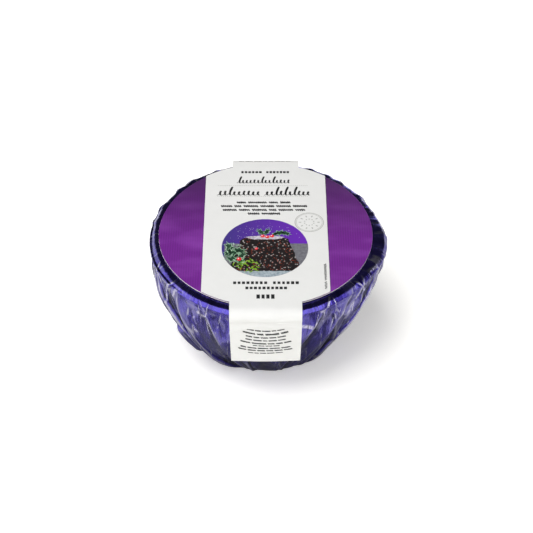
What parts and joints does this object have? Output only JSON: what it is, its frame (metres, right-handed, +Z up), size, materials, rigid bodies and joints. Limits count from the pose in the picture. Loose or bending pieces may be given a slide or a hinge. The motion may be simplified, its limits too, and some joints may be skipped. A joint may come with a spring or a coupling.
{
  "type": "wrapped christmas pudding",
  "caption": "Christmas pudding shut in a basin wrapped in creased coloured film, with a round card on top and a paper band over the card and down the sides; it stands on a flat base.",
  "frame": {"origin": "middle of the flat base that the pack stands on", "axes": "+Z up from the base to the band's upper face; the paper band runs along Y with -Y the front; +X to the right seen from the front"},
  "size_m": [0.1283, 0.1278, 0.0715],
  "materials": {
    "film": "blue-violet metallised wrapping film, glossy and creased",
    "card": "purple printed card, satin",
    "paper": "white coated label paper, satin"
  },
  "bodies": {
    "root": {"film_wrapped_basin": "film", "round_card": "card", "paper_band": "paper"}
  },
  "joints": []
}
